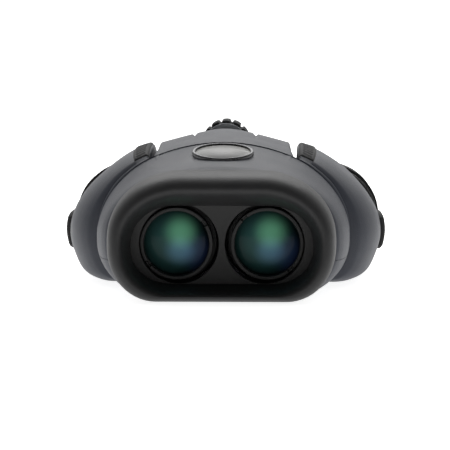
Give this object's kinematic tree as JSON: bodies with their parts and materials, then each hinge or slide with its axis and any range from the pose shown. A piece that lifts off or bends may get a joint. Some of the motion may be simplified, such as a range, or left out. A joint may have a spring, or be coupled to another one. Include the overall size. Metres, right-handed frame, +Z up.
{
  "type": "compact binoculars",
  "caption": "Compact reverse-porro binoculars with a broad front hood, folding wings joined by gear sectors, a central focusing wheel and twist-up eyecups.",
  "frame": {"origin": "centre of the bounding box's foot, on the surface the binoculars rest on", "axes": "-Y towards the object looked at, +Y towards the eyes, +Z up, +X to the user's left"},
  "size_m": [0.1092, 0.114, 0.0541],
  "materials": {
    "hood_armour": "satin",
    "body_armour": "soft satin",
    "grip_rubber": "matte, ribbed",
    "dark_plastic": "matte",
    "frame_plastic": "matte",
    "steel": "turned",
    "brass": "turned",
    "wheel_plastic": "satin",
    "bezel_metal": "polished",
    "badge_gloss": "glossy dome",
    "coated_glass": "green and violet antireflection coating",
    "clear_glass": "polished"
  },
  "bodies": {
    "main_body": {"upper_shell": "body_armour", "lower_shell": "body_armour", "objective_hood": "hood_armour", "baffle_panel": "dark_plastic", "chassis": "frame_plastic", "guide_rods": "steel", "cam_plate": "dark_plastic", "nameplate_bezel": "bezel_metal", "nameplate": "badge_gloss", "tripod_bush": "brass", "case_screws": "steel", "wheel_bearing": "brass"},
    "left_wing": {"left_wing_shell": "body_armour", "left_rear_cover": "body_armour", "left_prism_plate": "frame_plastic", "left_rear_prism": "clear_glass", "left_front_prism": "clear_glass", "left_prism_clips": "steel", "left_side_grip_pad": "grip_rubber", "left_top_grip_pad": "grip_rubber", "left_sync_gear": "frame_plastic", "left_eyepiece_tube": "dark_plastic", "left_eyepiece_collar": "dark_plastic", "left_ocular_cell": "dark_plastic", "left_field_lens": "clear_glass", "left_eye_lens": "coated_glass"},
    "right_wing": {"right_wing_shell": "body_armour", "right_rear_cover": "body_armour", "right_prism_plate": "frame_plastic", "right_rear_prism": "clear_glass", "right_front_prism": "clear_glass", "right_prism_clips": "steel", "right_side_grip_pad": "grip_rubber", "right_top_grip_pad": "grip_rubber", "right_sync_gear": "frame_plastic", "right_eyepiece_tube": "dark_plastic"},
    "focus_wheel": {"focus_wheel_core": "wheel_plastic", "focus_wheel_grip": "grip_rubber", "focus_shaft": "steel", "wheel_clip": "steel"},
    "carriage": {"objective_carriage": "frame_plastic", "focus_nut": "brass"},
    "left_objective": {"left_objective_cell": "dark_plastic", "left_objective_crown": "coated_glass", "left_objective_flint": "clear_glass", "left_retaining_ring": "dark_plastic"},
    "right_objective": {"right_objective_cell": "dark_plastic", "right_objective_crown": "coated_glass", "right_objective_flint": "clear_glass", "right_retaining_ring": "dark_plastic"},
    "left_eyecup_guide": {"left_eyecup_guide": "dark_plastic"},
    "right_eyecup_guide": {"right_eyecup_guide": "dark_plastic"},
    "left_eyecup": {"left_eyecup_sleeve": "dark_plastic", "left_eyecup_rubber": "grip_rubber"},
    "right_eyecup": {"right_eyecup_sleeve": "dark_plastic", "right_eyecup_rubber": "grip_rubber"},
    "diopter_ring": {"diopter_ring": "dark_plastic"},
    "right_ocular": {"right_ocular_cell": "dark_plastic", "right_field_lens": "clear_glass", "right_eye_lens": "coated_glass"}
  },
  "joints": [
    {"name": "left_wing_fold", "type": "hinge", "parent": "main_body", "child": "left_wing", "pos_m": [0.0144, 0, 0.0174], "axis": [0, 1, 0], "range_deg": [-2, 47]},
    {"name": "right_wing_fold", "type": "hinge", "parent": "main_body", "child": "right_wing", "pos_m": [-0.0144, 0, 0.0174], "axis": [0, 1, 0], "range_deg": [-47, 2]},
    {"name": "focus_turn", "type": "hinge", "parent": "main_body", "child": "focus_wheel", "pos_m": [0, 0, 0.0454], "axis": [0, 1, 0], "range_deg": [0, 450]},
    {"name": "carriage_slide", "type": "slide", "parent": "main_body", "child": "carriage", "axis": [0, -1, 0], "range_m": [0, 0.0056]},
    {"name": "left_objective_shift", "type": "slide", "parent": "carriage", "child": "left_objective", "axis": [-1, 0, 0], "range_m": [0, 0.0012]},
    {"name": "right_objective_shift", "type": "slide", "parent": "carriage", "child": "right_objective", "axis": [1, 0, 0], "range_m": [0, 0.0012]},
    {"name": "left_eyecup_rise", "type": "slide", "parent": "left_wing", "child": "left_eyecup_guide", "axis": [0, 1, 0], "range_m": [0, 0.007]},
    {"name": "left_eyecup_turn", "type": "hinge", "parent": "left_eyecup_guide", "child": "left_eyecup", "pos_m": [0.0363, 0, 0.0186], "axis": [0, 1, 0], "range_deg": [0, 100]},
    {"name": "right_eyecup_rise", "type": "slide", "parent": "right_wing", "child": "right_eyecup_guide", "axis": [0, 1, 0], "range_m": [0, 0.007]},
    {"name": "right_eyecup_turn", "type": "hinge", "parent": "right_eyecup_guide", "child": "right_eyecup", "pos_m": [-0.0363, 0, 0.0186], "axis": [0, 1, 0], "range_deg": [0, 100]},
    {"name": "diopter_turn", "type": "hinge", "parent": "right_wing", "child": "diopter_ring", "pos_m": [-0.0363, 0, 0.0186], "axis": [0, 1, 0], "range_deg": [-50, 50]},
    {"name": "right_ocular_shift", "type": "slide", "parent": "right_wing", "child": "right_ocular", "axis": [0, 1, 0], "range_m": [-0.001, 0.001]}
  ],
  "couplings": [
    {"joint": "right_wing_fold", "follows": "left_wing_fold", "ratio": -1},
    {"joint": "focus_turn", "follows": "carriage_slide", "rad_per_m": 1402.5},
    {"joint": "left_objective_shift", "follows": "carriage_slide", "ratio": 0.21429},
    {"joint": "right_objective_shift", "follows": "carriage_slide", "ratio": 0.21429},
    {"joint": "left_eyecup_turn", "follows": "left_eyecup_rise", "rad_per_m": 249.33},
    {"joint": "right_eyecup_turn", "follows": "right_eyecup_rise", "rad_per_m": 249.33},
    {"joint": "diopter_turn", "follows": "right_ocular_shift", "rad_per_m": 872.66}
  ]
}
